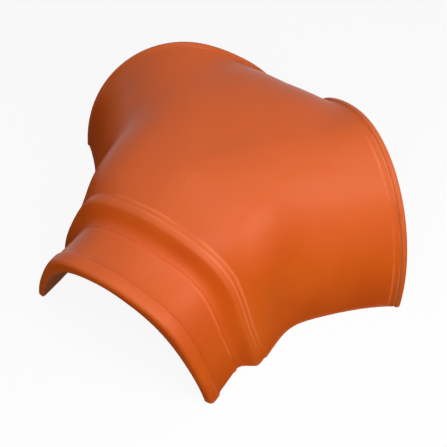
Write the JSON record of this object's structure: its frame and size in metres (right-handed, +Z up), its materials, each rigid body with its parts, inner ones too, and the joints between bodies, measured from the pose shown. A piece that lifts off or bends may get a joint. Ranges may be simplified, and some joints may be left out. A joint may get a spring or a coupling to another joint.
{
  "type": "three-way ridge tile",
  "caption": "Hollow clay roof junction tile: arched arms meet in a low dome, with a stepped collar on one arm and flared bell mouths on the others.",
  "frame": {"origin": "middle of the footprint's bounding box, on the ground plane the feet stand on", "axes": "+X out along the collar arm, +Z up, the tile is the same either side of the XZ plane"},
  "size_m": [0.3674, 0.4496, 0.1606],
  "materials": {
    "fired_clay": "satin orange engobe over fired clay"
  },
  "bodies": {
    "root": {"ridge_tile": "fired_clay"}
  },
  "joints": []
}
